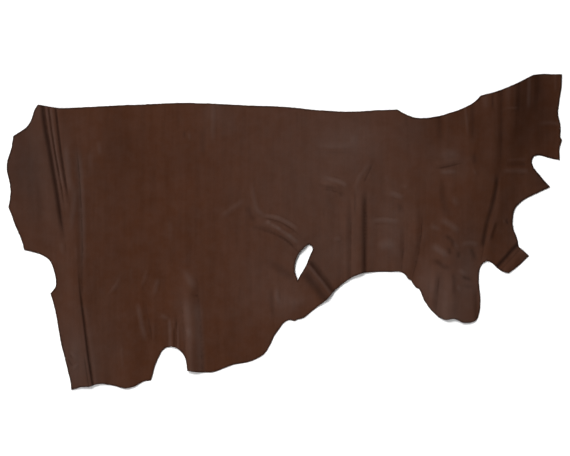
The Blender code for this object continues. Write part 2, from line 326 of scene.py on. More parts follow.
CREASES = (
    # where the hide hung over a bar, at the butt
    Crease("fold trough", (
        (144, 1145), (145, 1115), (171, 960), (198, 800), (222, 640), (232, 580)),
        13, 14, -1.5, -0.42, 0.0, 0.25),
    Crease("first bright line", ((158, 1140), (184, 960), (212, 800), (226, 720)), 5, 8, 1.2, 0.2, 0.05, 0.3),
    Crease("thin trough", ((166, 1132), (192, 960), (218, 820)), 4.5, 4.5, -0.7, -0.28, 0.05, 0.3),
    Crease("second bright line", (
        (176, 1134), (199, 960), (230, 800), (240, 740)), 5, 8, 1.3, 0.25, 0.05, 0.3),
    Crease("second trough", ((194, 1134), (214, 960), (238, 800), (246, 740)), 8, 7, -1.0, -0.32, 0.05, 0.35),
    Crease("light band by the trough", ((236, 1000), (244, 900), (260, 760)), 16, 20, 0.7, 0.32, 0.3, 0.3),
    Crease("light band, lower", (
        (268, 848), (272, 784), (264, 700), (252, 608)), 14, 16, 0.7, 0.18, 0.3, 0.3),
    Crease("soft ridge beside the fold", ((332, 968), (336, 864)), 14, 14, 0.6, 0.15),
    Crease("soft ridge, higher", ((364, 1000), (376, 928)), 12, 12, 0.7, 0.18),
    Crease("lump under the fold", ((218, 600), (224, 532)), 14, 14, 1.3, 0.16),
    Crease("second lump", ((272, 600), (278, 550), (276, 490)), 13, 13, 1.0, 0.1),
    Crease("long hard crease", (
        (284, 560), (288, 456), (300, 336), (312, 240), (324, 144), (340, 40), (347, -8)),
        6, 6, -1.4, -0.5, 0.5, 0.0),
    Crease("flank of the long fold", (
        (280, 1000), (292, 880), (300, 760), (304, 640), (304, 540), (298, 420)),
        16, 20, 0.2, 0.34, 0.2, 0.25),
    Crease("lip of the hard crease", ((302, 400), (314, 330), (328, 240), (342, 140), (358, 20)),
           14, 8, 0.8, 0.1, 0.3, 0.0),
    Crease("fine line beside it", ((308, 148), (324, 40), (331, -4)), 4, 4, -0.6, -0.28, 0.3, 0.0),
    Crease("light band at the corner", ((262, 200), (284, 110)), 20, 20, 0.8, 0.1, 0.4, 0.3),
    Crease("lump at the corner", ((252, 160), (276, 128)), 10, 12, 0.9, 0.16),
    Crease("second lump at the corner", ((260, 80), (292, 112)), 10, 10, 0.8, 0.16),
    Crease("dark between them", ((240, 130), (264, 90)), 9, 9, -0.6, -0.11),
    Crease("butt wave", ((70, 980), (60, 900), (66, 800)), 13, 23, 0.7, 0.05),
    Crease("butt wave, inner", ((104, 1010), (98, 900), (110, 760), (120, 660)), 17, 11, 0.6, 0.05, 0.3),
    # between the fold lines and the hind notch
    Crease("slanting crease", ((396, 376), (424, 404), (444, 436), (452, 472)), 9, 13, 0.9, 0.2, 0.3, 0.5),
    Crease("rump crease, high", ((496, 608), (500, 544)), 11, 11, 0.7, 0.08),
    Crease("rump crease, upper", ((496, 500), (496, 416)), 14, 14, 0.7, 0.12),
    Crease("rump crease, slanting", ((564, 488), (548, 440), (536, 400)), 12, 12, 0.9, 0.15, 0.3),
    Crease("rump crease, long", ((520, 360), (532, 300), (544, 240), (560, 188)), 13, 15, 1.2, 0.3, 0.3, 0.3),
    Crease("rump crease, side", ((604, 456), (596, 408), (584, 368)), 13, 15, 1.1, 0.22, 0.3),
    Crease("rump crease, low", ((584, 288), (588, 184)), 9, 9, 0.7, 0.08, 0.4, 0.3),
    Crease("streak by the belly edge", ((456, 192), (464, 80)), 10, 10, 0.6, 0.12, 0.3, 0.3),
    Crease("pucker over the notch", ((612, 300), (650, 284)), 13, 13, 0.7, 0.24, 0.35, 0.35),
    Crease("bright line by the notch", ((650, 296), (654, 220), (654, 150)), 9, 12, 1.0, 0.34, 0.2, 0.0),
    Crease("dark line by the notch", ((669, 260), (669, 150)), 6, 6, -1.0, -0.36, 0.3, 0.0),
    Crease("second bright line by the notch", ((684, 270), (686, 150)), 7, 9, 0.8, 0.22, 0.3, 0.0),
    Crease("bulge over the ridge", ((708, 488), (732, 440), (760, 396)), 22, 24, 1.3, 0.25),
    Crease("pinch in the ridge", ((732, 388), (752, 376), (768, 384)), 12, 12, -0.6, -0.1),
    Crease("light band on the ridge", (
        (714, 372), (724, 280), (730, 180), (738, 66)), 24, 22, 0.8, 0.24, 0.2, 0.0),
    Crease("light spot on the ridge", ((722, 250), (734, 210)), 14, 14, 0.5, 0.2),
    Crease("side of the ridge", ((762, 380), (768, 240), (774, 80)), 26, 26, 0.3, 0.3, 0.25, 0.0),
    # the back
    Crease("streak at the back", ((824, 1148), (824, 1056), (820, 960)), 14, 14, 0.7, 0.2, 0.05),
    Crease("dark band beside it", ((780, 1060), (784, 924)), 18, 18, -0.4, -0.17, 0.3, 0.3),
    Crease("short streak", ((730, 1032), (730, 992)), 10, 10, 0.7, 0.18),
    Crease("dark spot beside it", ((710, 1044), (710, 1000)), 11, 11, -0.5, -0.17),
    Crease("streak in the side", ((652, 700), (656, 560)), 13, 13, 0.5, 0.12),
    # the star of creases on the flank, and the hole
    Crease("star, left arm", ((952, 760), (916, 736), (876, 708), (836, 676)), 18, 14, 1.0, 0.18, 0.15),
    Crease("star, upper arm", ((976, 840), (986, 780), (1002, 720), (1034, 692)), 14, 14, 0.9, 0.2, 0.4, 0.2),
    Crease("star hollow", ((964, 744), (972, 708), (992, 664)), 17, 17, -0.8, -0.2, 0.3, 0.3),
    Crease("upper bright ridge", (
        (1010, 700), (1084, 688), (1132, 664), (1176, 632)), 11, 13, 1.1, 0.36, 0.25, 0.25),
    Crease("lower bright ridge", (
        (1020, 676), (1060, 660), (1100, 636), (1140, 608), (1172, 584)), 10, 12, 1.0, 0.34, 0.3, 0.15),
    Crease("knob on the ridge", ((1036, 676), (1056, 668)), 10, 10, 0.6, 0.3),
    Crease("second knob on the ridge", ((1078, 652), (1098, 642)), 10, 10, 0.6, 0.26),
    Crease("third knob on the ridge", ((1122, 626), (1144, 610)), 10, 10, 0.6, 0.26),
    Crease("trough below the ridge", (
        (972, 652), (1020, 648), (1072, 628), (1124, 596), (1164, 568)), 14, 20, -0.6, -0.08, 0.1, 0.1),
    Crease("trough by the hole", (
        (1212, 520), (1244, 480), (1276, 436), (1308, 394)), 16, 20, -1.1, -0.38, 0.1, 0.0),
    Crease("ridge by the hole", (
        (1204, 500), (1240, 458), (1268, 422), (1296, 384)), 9, 10, 1.1, 0.3, 0.1, 0.0),
    Crease("hollow by the hole", (
        (1176, 486), (1206, 448), (1238, 408), (1268, 368)), 28, 28, -0.7, -0.42, 0.3, 0.0),
    Crease("dark fold behind the hole", (
        (1028, 528), (1090, 484), (1156, 440)), 26, 26, -0.5, -0.2, 0.4, 0.2),
    Crease("line in the flank", ((1084, 416), (1080, 376), (1092, 336)), 11, 15, 1.0, 0.28),
    Crease("swelling in the flank", ((1108, 360), (1172, 352), (1220, 360)), 26, 24, 1.0, 0.1),
    Crease("dark edge of the flank", ((1056, 420), (1060, 340), (1072, 280)), 16, 16, -0.5, -0.18, 0.3, 0.3),
    # shoulder and belly arch
    Crease("shoulder ridge", (
        (1244, 852), (1300, 842), (1340, 828), (1364, 812)), 12, 13, 1.0, 0.32, 0.5, 0.15),
    Crease("under the shoulder ridge", ((1240, 820), (1292, 812), (1324, 804)), 9, 12, -0.6, -0.16, 0.3, 0.3),
    Crease("dark end of it", ((1330, 796), (1344, 768)), 16, 16, -0.3, -0.16, 0.3),
    Crease("hook of the arch fold", (
        (1456, 936), (1436, 888), (1408, 848), (1396, 808), (1400, 760)), 12, 12, 0.8, 0.15, 0.35),
    Crease("dark side of the hook", ((1468, 920), (1448, 872), (1424, 824)), 9, 9, -0.6, -0.1, 0.4, 0.2),
    Crease("arch trough", (
        (1428, 808), (1428, 720), (1428, 600), (1430, 450)), 18, 16, -1.2, -0.34, 0.25, 0.0),
    Crease("arch lip", ((1456, 760), (1460, 640), (1456, 455)), 18, 14, 0.7, 0.06, 0.35, 0.0),
    Crease("second trough of the arch", ((1392, 816), (1392, 740), (1390, 680)), 8, 8, -0.5, -0.18),
    Crease("third trough of the arch", (
        (1370, 780), (1368, 640), (1364, 420)), 14, 14, -0.2, -0.11, 0.3, 0.0),
    Crease("shade on the second wave", ((1342, 660), (1340, 420)), 18, 18, -0.2, -0.12, 0.3, 0.0),
    Crease("level crease", ((1232, 976), (1312, 972), (1400, 978)), 24, 12, 0.9, 0.18, 0.3, 0.3),
    Crease("level line under it", ((1252, 950), (1404, 950)), 8, 12, -0.3, -0.08),
    Crease("light pad over it", ((1368, 1004), (1408, 1000)), 30, 28, 0.7, 0.16),
    Crease("pucker by the shoulder", ((1300, 600), (1340, 608)), 12, 12, 0.8, 0.1),
    Crease("streak under the shoulder", ((1268, 740), (1268, 680)), 9, 9, -0.4, -0.06),
    Crease("small lump", ((1524, 788), (1556, 780), (1592, 764)), 15, 15, 1.3, 0.34, 0.35, 0.35),
    Crease("dark under the small lump", ((1564, 752), (1580, 704)), 18, 16, -0.6, -0.2),
    Crease("small lump, high", ((1508, 852), (1532, 836)), 14, 14, 0.9, 0.08),
    Crease("small lump, right", ((1584, 812), (1604, 812)), 10, 10, 0.8, 0.1),
    Crease("level crease in the arch", ((1448, 676), (1512, 680), (1584, 670)), 13, 15, 1.1, 0.3, 0.3, 0.3),
    Crease("lump in the arch", ((1480, 560), (1516, 584), (1556, 568)), 28, 26, 1.2, 0.28, 0.35, 0.35),
    Crease("line over the arch", ((1584, 672), (1580, 600), (1580, 512)), 14, 14, -0.5, -0.11, 0.3, 0.3),
    Crease("elbow line", (
        (1644, 780), (1652, 672), (1646, 584), (1624, 496), (1608, 445)), 18, 18, -0.3, -0.03, 0.3, 0.0),
    Crease("elbow lip", ((1668, 660), (1668, 580)), 10, 10, 0.6, 0.06),
    # chest and foreleg
    Crease("chest line, dark", ((1700, 886), (1764, 894), (1836, 914)), 13, 13, -0.3, -0.02, 0.3, 0.3),
    Crease("chest line, lower", ((1724, 870), (1772, 872), (1808, 872)), 12, 13, 0.9, 0.26, 0.3, 0.3),
    Crease("chest pad", ((1716, 932), (1772, 944), (1824, 950)), 28, 26, 1.2, 0.22),
    Crease("chest hollow", ((1866, 960), (1874, 888)), 16, 16, -0.6, -0.2),
    Crease("chest lump", ((1864, 888), (1880, 852)), 9, 9, 0.8, 0.12),
    Crease("dark curve over the foreleg", (
        (1742, 860), (1748, 760), (1762, 708), (1788, 680)), 22, 22, -0.8, -0.2, 0.3, 0.3),
    Crease("light beside the curve", ((1780, 776), (1806, 728)), 18, 18, 0.8, 0.2),
    Crease("foreleg wrinkle 1", (
        (1732, 692), (1756, 670), (1784, 654), (1812, 626)), 20, 18, 1.2, 0.34, 0.3, 0.3),
    Crease("foreleg wrinkle 2", ((1688, 658), (1736, 640)), 15, 14, 0.8, 0.26),
    Crease("foreleg wrinkle 3", (
        (1744, 618), (1768, 608), (1782, 592), (1784, 556)), 14, 14, -0.8, -0.28, 0.3),
    Crease("foreleg wrinkle 4", (
        (1700, 588), (1724, 562), (1748, 546), (1764, 520)), 20, 20, 1.3, 0.38, 0.3, 0.35),
    Crease("foreleg wrinkle 5", (
        (1696, 518), (1728, 508), (1744, 494), (1784, 486)), 17, 17, -0.9, -0.28, 0.25, 0.3),
    Crease("foreleg wrinkle 6", ((1764, 576), (1776, 536)), 12, 12, -0.7, -0.26),
    Crease("foreleg wrinkle 7", ((1784, 592), (1808, 564)), 12, 12, 0.7, 0.2),
    Crease("foreleg wrinkle 8", ((1804, 560), (1808, 520)), 12, 12, -0.7, -0.26),
    Crease("foreleg wrinkle 9", ((1812, 578), (1852, 588), (1888, 582)), 13, 15, 0.8, 0.26, 0.3, 0.2),
    Crease("foreleg wrinkle 10", ((1848, 572), (1864, 548), (1872, 508)), 15, 15, -0.8, -0.24, 0.35),
    Crease("foreleg wrinkle 11", ((1804, 484), (1840, 458)), 13, 13, 0.8, 0.3),
    Crease("foreleg wrinkle 12", ((1812, 458), (1832, 448), (1868, 440)), 13, 13, -0.8, -0.24, 0.35),
    Crease("foreleg wrinkle 13", ((1820, 424), (1840, 414), (1872, 412)), 12, 12, -0.5, -0.13),
    Crease("foreleg wrinkle 14", ((1800, 428), (1812, 392)), 12, 12, 0.7, 0.2),
    Crease("foreleg trough", (
        (1728, 476), (1724, 424), (1712, 360), (1706, 300)), 16, 16, -0.5, -0.13, 0.2, 0.3),
    Crease("foreleg trough, middle", ((1784, 476), (1788, 424), (1788, 360)), 14, 14, -0.6, -0.24, 0.2),
    Crease("foreleg band", ((1752, 416), (1756, 270)), 22, 22, 0.8, 0.08, 0.3, 0.0),
    Crease("foreleg trough, right", ((1872, 420), (1876, 270)), 14, 14, -0.6, -0.18, 0.3, 0.0),
    # throat and shank
    Crease("throat crease, long", (
        (1960, 872), (1956, 820), (1938, 736), (1920, 672), (1908, 616), (1898, 560)),
        13, 13, -1.1, -0.38, 0.15, 0.1),
    Crease("throat crease, short", ((1962, 680), (1948, 640), (1936, 596)), 11, 11, -0.8, -0.3, 0.3, 0.2),
    Crease("throat pucker", ((1996, 690), (2004, 656)), 8, 8, -0.8, -0.2),
    Crease("throat pucker, light", ((1984, 684), (1990, 664)), 6, 6, 0.8, 0.15),
    Crease("shank crease", (
        (2052, 592), (2016, 556), (1992, 528), (1968, 502), (1956, 488)), 12, 12, -1.4, -0.62, 0.0, 0.0),
    # neck
    Crease("neck line, far rear", ((1596, 1125), (1600, 1040)), 12, 12, -0.5, -0.08, 0.0),
    Crease("neck line, rear", ((1730, 1125), (1730, 1040), (1734, 970)), 18, 18, -0.7, -0.16, 0.0),
    Crease("neck lip, rear", ((1760, 1110), (1764, 1000)), 14, 12, 0.6, 0.06, 0.1),
    Crease("neck line, second", ((1832, 1140), (1840, 1064), (1844, 1000)), 9, 10, 1.0, 0.16, 0.0),
    Crease("neck line, third", ((1860, 1150), (1862, 1064), (1864, 960)), 15, 12, -0.8, -0.19, 0.0),
    Crease("neck line, fourth", ((1912, 1190), (1916, 1112)), 16, 18, 1.0, 0.2, 0.0),
    Crease("neck line, fifth", ((1942, 1200), (1942, 1110)), 8, 8, -0.6, -0.16, 0.0),
    Crease("neck trough", (
        (1974, 1215), (1974, 1080), (1972, 960), (1966, 890)), 24, 24, -0.6, -0.04, 0.0, 0.3),
    Crease("neck band", ((2004, 1230), (2004, 1120)), 14, 14, 0.8, 0.15, 0.0),
    Crease("neck trough, front", ((2044, 1245), (2044, 1160), (2040, 1100)), 24, 24, -0.7, -0.08, 0.0, 0.3),
    Crease("neck lip, front", ((2088, 1265), (2086, 1180), (2084, 1116)), 11, 11, 1.3, 0.35, 0.0, 0.25),
    Crease("neck trough, end", ((2124, 1268), (2132, 1160)), 24, 20, -0.6, -0.1, 0.0),
    Crease("neck level line", ((1984, 1124), (2052, 1128)), 8, 8, 0.7, 0.1, 0.3, 0.3),
    Crease("neck end, light line", ((2116, 1060), (2164, 1068), (2210, 1064)), 13, 13, 0.9, 0.22, 0.35, 0.0),
    Crease("neck end, upper", ((2192, 1270), (2196, 1180)), 10, 10, 0.7, 0.15, 0.0),
    Crease("jaw line", ((1972, 876), (2028, 876), (2088, 876)), 14, 14, 1.0, 0.26, 0.3, 0.1),
    Crease("jaw line, dark", ((1988, 902), (2084, 902)), 12, 12, -0.5, -0.1, 0.3, 0.2),
    Crease("jaw band", ((1992, 920), (2084, 922)), 10, 10, 0.6, 0.1, 0.25, 0.2),
)

CREASE_STEP = 6.0
SHARP_TROUGH = -1.2
TROUGH_POWER = 1.7


def crease_shape(crease, across):
    """The cross-section of a crease: round, or with a sharp bottom where a trough is deep."""
    if crease.rise <= SHARP_TROUGH:
        return crease.rise * (1 - abs(across)) ** TROUGH_POWER
    return crease.rise * (1 - across**2) ** 2


def crease_heights(points):
    """How far the creases lift or sink the grain side at chart points, in millimetres."""
    heights = np.zeros(len(points))
    for crease in CREASES:
        add_form(heights, points, crease, CREASE_STEP, crease_shape)
    return heights


ridges = sum(crease.rise > 0 for crease in CREASES)
print(f"{ridges} ridges and {len(CREASES) - ridges} troughs")

# %% [markdown]
# ## Slack in the leather
#
# Even where no fold runs, a hide isn't as flat as a board. The belly and legs are loose, the back is
# firm, and the skin has long shallow ripples that lie across the animal. Noise stretched along one
# direction gives those. It only lifts the sheet and never pushes it into the floor.

# %% Ripples
Ripple = namedtuple("Ripple", "width length lift seed")
RIPPLES = (
    Ripple(26.0, 150.0, 0.35, 1.3),
    Ripple(60.0, 260.0, 0.9, 5.1),
    Ripple(150.0, 190.0, 1.3, 9.4),
)
FINE_LUMPS = 13.0
FINE_LIFT = 0.10
FINE_SEED = 2.2


def ripple_heights(points):
    """Low ripples, never below zero, in millimetres."""
    heights = np.zeros(len(points))
    for ripple in RIPPLES:
        squeezed = points * (1.0, ripple.width / ripple.length)
        heights += ripple.lift * np.clip(noise_at(squeezed, ripple.width, ripple.seed), 0, 1)
    return heights


print("the ripples lift the sheet by up to", sum(ripple.lift for ripple in RIPPLES), "mm")

# %% [markdown]
# ## Where the points go
#
# A regular grid would need millions of points to hold a crease that is 8 mm wide. So the points go where
# they are needed: dense along the rim, in rows along each fold and crease, and on a wider triangular
# lattice elsewhere. Delaunay triangulation then joins them into even triangles inside the outline. The
# grain side gets a fine layout, and the flesh side, which shows less, a coarse one with the same rim.

# %% Lay out the points and join them
GRAIN_LATTICE = 7.6
FLESH_LATTICE = 15.0
LATTICE_GAP = 0.72
GRAIN_GAP = 2.6
FLESH_GAP = 7.0
STEP_IN_GAPS = 1.2
STEP_IN_REACHES = 0.6
SAME_PLACE = 1e-5
ROWS_ACROSS = (-1.0, -0.5, 0.0, 0.5, 1.0)
CELL = 16.0


def is_inside(points, loop):
    """Which of the points are inside the closed loop."""
    inside = np.zeros(len(points), bool)
    for a, b in zip(loop, np.roll(loop, -1, axis=0)):
        spans = (a[1] > points[:, 1]) != (b[1] > points[:, 1])
        crossing = a[0] + (points[spans, 1] - a[1]) * (b[0] - a[0]) / (b[1] - a[1])
        inside[spans] ^= points[spans, 0] < crossing
    return inside


def rows_along(form, step):
    """Points in rows along a fold or crease, from one foot over the crest to the other."""
    line = smooth_line(form.crest, step)
    along = np.gradient(line, axis=0)
    along /= np.linalg.norm(along, axis=1)[:, None]
    side = np.column_stack([-along[:, 1], along[:, 0]])
    reaches = [form.left if share > 0 else form.right for share in ROWS_ACROSS]
    return np.vstack([line + side * share * reach for share, reach in zip(ROWS_ACROSS, reaches)])


def lattice(spacing):
    """A triangular lattice over the whole hide."""
    low, high = edge.min(0), edge.max(0)
    columns = np.arange(low[0], high[0], spacing)
    rows = np.arange(low[1], high[1], spacing * math.sqrt(3) / 2)
    x, y = np.meshgrid(columns, rows)
    x[1::2] += spacing / 2
    return np.column_stack([x.ravel(), y.ravel()])


def thinned(groups):
    """The points of all the groups, each left out if one already there is nearer than its group's gap."""
    taken, kept = {}, []
    for points, gap, fixed in groups:
        for x, y in points:
            column, row = int(x // CELL), int(y // CELL)
            crowded = not fixed and any(
                (x - u) ** 2 + (y - v) ** 2 < gap * gap
                for i in (column - 1, column, column + 1)
                for j in (row - 1, row, row + 1)
                for u, v in taken.get((i, j), ()))
            if not crowded:
                taken.setdefault((column, row), []).append((x, y))
                kept.append((x, y))
    return np.array(kept)


def laid_out(forms, row_gap, spacing):
    """The points and triangles of one side of the sheet. The rim's points come first, in order."""
    groups = [(loop, 0.0, True) for loop in (edge, hole)]
    middles = [(loop + np.roll(loop, -1, axis=0)) / 2 for loop in (edge, hole)]
    inner = []
    for form in forms:
        step = max(STEP_IN_GAPS * row_gap, STEP_IN_REACHES * min(form.left, form.right))
        inner.append((rows_along(form, step), row_gap, False))
    inner.append((lattice(spacing), LATTICE_GAP * spacing, False))
    candidates = thinned(groups + [(middle, 0.0, True) for middle in middles] + inner)
    rim_count = len(edge) + len(hole)
    rim, rest = candidates[:rim_count], candidates[2 * rim_count:]
    rest = rest[is_inside(rest, edge) & ~is_inside(rest, hole)]
    points = np.vstack([rim, rest])
    fences = [(start + i, start + (i + 1) % len(loop))
              for start, loop in ((0, edge), (len(edge), hole)) for i in range(len(loop))]
    _, _, faces, *_ = delaunay_2d_cdt([Vector(p) for p in points], fences, [], 0, SAME_PLACE, False)
    faces = np.array(faces)
    centres = points[faces].mean(1)
    faces = faces[is_inside(centres, edge) & ~is_inside(centres, hole)]
    return points, faces


grain_points, grain_faces = laid_out(FOLDS + CREASES, GRAIN_GAP, GRAIN_LATTICE)
flesh_points, flesh_faces = laid_out(FOLDS, FLESH_GAP, FLESH_LATTICE)
print(f"grain side: {len(grain_faces)} triangles, flesh side: {len(flesh_faces)}")

# %% [markdown]
# ## From chart to mesh
#
# The grain side lies one thickness above the flesh side, and both follow the same folds. Creases belong
# to the grain side. The flesh side takes only half of each ridge and no trough, because a trough pinches
# the leather and the floor keeps the flesh side flat. The rim joins the two sides with a narrow strip
# that bulges a little, as a knife cut does once the fibres relax.

# %% Build the sheet
EDGE_BULGE = 0.35
FLESH_SHARE = 0.5
LEAST_THICKNESS = 0.9
GRAIN, FLESH, CUT = range(3)


def sheet_heights(points):
    """Heights of the flesh side and the grain side at chart points, in millimetres."""
    flesh = fold_heights(points) + ripple_heights(points)
    creases = crease_heights(points)
    fine = FINE_LIFT * noise_at(points, FINE_LUMPS, FINE_SEED)
    grain = flesh + THICKNESS + creases + fine
    flesh = flesh + FLESH_SHARE * np.clip(creases, 0, None)
    return flesh, np.maximum(grain, flesh + LEAST_THICKNESS)


def in_metres(points, heights):
    """Places in the frame, in metres, of chart points and their heights."""
    return np.column_stack([points - CHART_CENTRE, heights]) * MM


_, grain_z = sheet_heights(grain_points)
flesh_z, _ = sheet_heights(flesh_points)
rim_count = len(edge) + len(hole)
bulge = np.vstack([outward(edge), outward(hole)]) * EDGE_BULGE
middle_points = grain_points[:rim_count] + bulge
middle_z = (grain_z[:rim_count] + flesh_z[:rim_count]) / 2

places = np.vstack([in_metres(grain_points, grain_z), in_metres(flesh_points, flesh_z),
                    in_metres(middle_points, middle_z)])
flesh_start, middle_start = len(grain_points), len(grain_points) + len(flesh_points)

strips = []
for start, count in ((0, len(edge)), (len(edge), len(hole))):
    here = start + np.arange(count)
    after = start + (np.arange(count) + 1) % count
    top, middle, low = here, here + middle_start, here + flesh_start
    top_after, middle_after, low_after = after, after + middle_start, after + flesh_start
    strips += [np.column_stack([top, top_after, middle_after, middle]),
               np.column_stack([middle, middle_after, low_after, low])]
rim_faces = np.vstack(strips)

faces = [*grain_faces.tolist(), *(flesh_faces[:, ::-1] + flesh_start).tolist(), *rim_faces.tolist()]
mesh = bpy.data.meshes.new("leather_side")
mesh.from_pydata(places, [], faces)
finishes = np.repeat([GRAIN, FLESH, CUT], [len(grain_faces), len(flesh_faces), len(rim_faces)])
mesh.polygons.foreach_set("material_index", finishes)
mesh.validate()
leather = bpy.data.objects.new("leather_side", mesh)
bpy.context.scene.collection.objects.link(leather)
print(f"{len(mesh.vertices)} points and {len(mesh.polygons)} faces")

# %% [markdown]
# ## Relief, dye and painted light
#
# Three things are worked out and stored on the points, for the finishes to read. Relief is how far a
# point stands above or below a ring of places round it: crests are rubbed shinier and painted lighter, a
# painted highlight, and troughs get painted shade. Dye and painted shade say how much darker or lighter
# the brown comes out, as at the neck: partly uneven dye, partly painted shade, as beside the hole and
# along the dark creases. Painted sheen is a thin grey film painted on where the satin finish would mirror
# the room's light, as on the butt and the back. It adds the same light to red, green and blue, so the
# brown goes paler and greyer, where more dye would only go redder. Broad soft patches place both, and each
# crease adds its own. The rim of the grain side is painted darker, a painted shade along the edge.

# %% Store relief, dye and painted shade, and painted sheen on the points
RIM_PAINTED_SHADE = 0.5
RING = 9.0
RING_PLACES = 8
Patch = namedtuple("Patch", "name x y across along dye bloom")
PATCHES = (
    Patch("butt", 70, 920, 120, 240, -0.29, 0.25),
    Patch("butt and fold lines", 210, 740, 150, 420, -0.10, 0.15),
    Patch("hind leg", 280, 110, 140, 190, -0.14, 0.36),
    Patch("high on the rump", 474, 930, 100, 160, -0.17, 0.0),
    Patch("beside the long fold", 428, 520, 50, 420, -0.06, 0.02),
    Patch("ridge by the hind notch", 734, 290, 50, 160, 0.02, 0.20),
    Patch("back, by the streaks", 850, 1100, 80, 80, -0.03, 0.18),
    Patch("middle of the back", 1270, 860, 370, 420, -0.05, 0.30),
    Patch("light spot on the back", 1390, 1000, 120, 80, 0.0, 0.20),
    Patch("light by the withers", 1620, 1040, 60, 90, -0.06, 0.14),
    Patch("flank", 1030, 400, 150, 150, 0.02, 0.18),
    Patch("beside the hole", 1230, 510, 60, 70, -0.04, 0.0),
    Patch("light spot below the hole", 1124, 352, 50, 50, 0.04, 0.20),
    Patch("belly, middle", 1310, 520, 110, 110, 0.0, 0.16),
    Patch("belly, behind the elbow", 1540, 610, 80, 170, 0.0, 0.24),
    Patch("withers", 1730, 1070, 130, 120, -0.18, 0.0),
    Patch("shoulder", 1770, 910, 90, 80, -0.07, 0.20),
    Patch("chest", 1840, 620, 80, 110, -0.13, 0.04),
    Patch("throat", 1940, 900, 80, 380, -0.22, 0.0),
    Patch("neck", 2100, 1140, 130, 280, -0.49, 0.0),
    Patch("jaw", 2060, 640, 90, 200, -0.15, 0.14),
    Patch("jaw, tip", 2160, 850, 50, 60, -0.26, 0.08),
    Patch("foreleg, rear", 1664, 434, 44, 60, 0.05, 0.20),
    Patch("foreleg", 1740, 360, 90, 180, -0.04, 0.40),
    Patch("foreleg, front", 1850, 460, 50, 170, -0.12, 0.36),
    Patch("foreleg, end", 1790, 270, 90, 60, -0.12, 0.20),
)


def crease_painted_light(crease, across):
    """A crease's painted light, strongest on its line: paler lines add painted sheen, darker ones painted
    shade.
    """
    return crease.tone * (1 - across**2) ** 2


def folded(points):
    """The height that folds and creases alone give, in millimetres."""
    return fold_heights(points) + crease_heights(points)


def relief_at(points):
    """How far the folded sheet stands above the mean of a ring round each point, in millimetres."""
    around = 0.0
    for turn in np.arange(RING_PLACES) * 2 * math.pi / RING_PLACES:
        step = RING * np.array([math.cos(turn), math.sin(turn)])
        around = around + folded(points + step) / RING_PLACES
    return folded(points) - around


def store(name, values):
    """Keeps one number for each point on the mesh."""
    mesh.attributes.new(name, "FLOAT", "POINT").data.foreach_set("value", np.asarray(values, np.float32))


chart_places = to_chart(places)
dye = np.zeros(len(places))
bloom = np.zeros(len(places))
for patch in PATCHES:
    off = (chart_places - (patch.x, patch.y)) / (patch.across, patch.along)
    bell = np.exp(-(off**2).sum(1))
    dye += patch.dye * bell
    bloom += patch.bloom * bell
# painted light along each crease: paler lines add painted sheen, darker lines add painted shade
for crease in CREASES:
    add_form(bloom if crease.tone > 0 else dye, chart_places, crease, CREASE_STEP, crease_painted_light)

# painted shade along the rim of the grain side
dye[:rim_count] -= RIM_PAINTED_SHADE

relief = relief_at(chart_places)
for name, values in (("relief", relief), ("dye", dye), ("bloom", bloom)):
    store(name, values)
    print(f"{name}: from {values.min():.2f} to {values.max():.2f}")

# %% [markdown]
# ## Small tools for shader nodes
#
# Building a material in code means adding nodes and joining sockets. One helper adds a node and fills its
# inputs, with either a number or another node's output, so that each line below reads like a step of the
# recipe. Another makes a node group with named inputs and outputs.

# %% Node helpers
def add(tree, kind, inputs=(), **settings):
    """Adds a node. inputs maps a socket's name or number to a value or to another node's output."""
    made = tree.nodes.new("ShaderNode" + kind)
    for name, value in settings.items():
        setattr(made, name, value)
    for name, value in dict(inputs).items():
        if isinstance(value, bpy.types.NodeSocket):
            tree.links.new(value, made.inputs[name])
        else:
            made.inputs[name].default_value = value
    return made


def math_of(tree, operation, first, second=0.0):
    """The output of a Math node."""
    return add(tree, "Math", {0: first, 1: second}, operation=operation).outputs[0]


def mapped(tree, value, low, high, to_low=0.0, to_high=1.0, smooth=True):
    """A value moved from one range to another, and held inside it."""
    kind = "SMOOTHSTEP" if smooth else "LINEAR"
    inputs = {"Value": value, "From Min": low, "From Max": high, "To Min": to_low, "To Max": to_high}
    return add(tree, "MapRange", inputs, interpolation_type=kind).outputs[0]


def blended(tree, factor, first, second):
    """Two colours mixed by a factor."""
    made = add(tree, "Mix", data_type="RGBA")
    for name, value in (("Factor_Float", factor), ("A_Color", first), ("B_Color", second)):
        socket = next(s for s in made.inputs if s.identifier == name)
        if isinstance(value, bpy.types.NodeSocket):
            tree.links.new(value, socket)
        else:
            socket.default_value = value
    return next(s for s in made.outputs if s.identifier == "Result_Color")


def new_group(name, inputs, outputs):
    """An empty shader node group with named inputs, as (name, socket kind, value), and float outputs."""
    group = bpy.data.node_groups.new(name, "ShaderNodeTree")
    for label, kind, value in inputs:
        socket = group.interface.new_socket(label, in_out="INPUT", socket_type="NodeSocket" + kind)
        if value is not None:
            socket.default_value = value
    for label in outputs:
        group.interface.new_socket(label, in_out="OUTPUT", socket_type="NodeSocketFloat")
    return group, group.nodes.new("NodeGroupInput").outputs, group.nodes.new("NodeGroupOutput").inputs


def placed(tree, group, **inputs):
    """A group placed in a material. Underscores in the inputs' names stand for spaces."""
    made = tree.nodes.new("ShaderNodeGroup")
    made.node_tree = group
    for name, value in inputs.items():
        socket = made.inputs[name.replace("_", " ")]
        if isinstance(value, bpy.types.NodeSocket):
            tree.links.new(value, socket)
        else:
            socket.default_value = value
    return made.outputs


print("helpers ready")

# %% [markdown]
# ## Uneven dye
#
# Aniline dye soaks into a skin that is denser in some places than in others, and the finish is wiped and
# sprayed on in long passes. So the colour has clouds of a hand's width and faint streaks along one
# direction. All three finishes of the hide share this group, each with its own sizes.

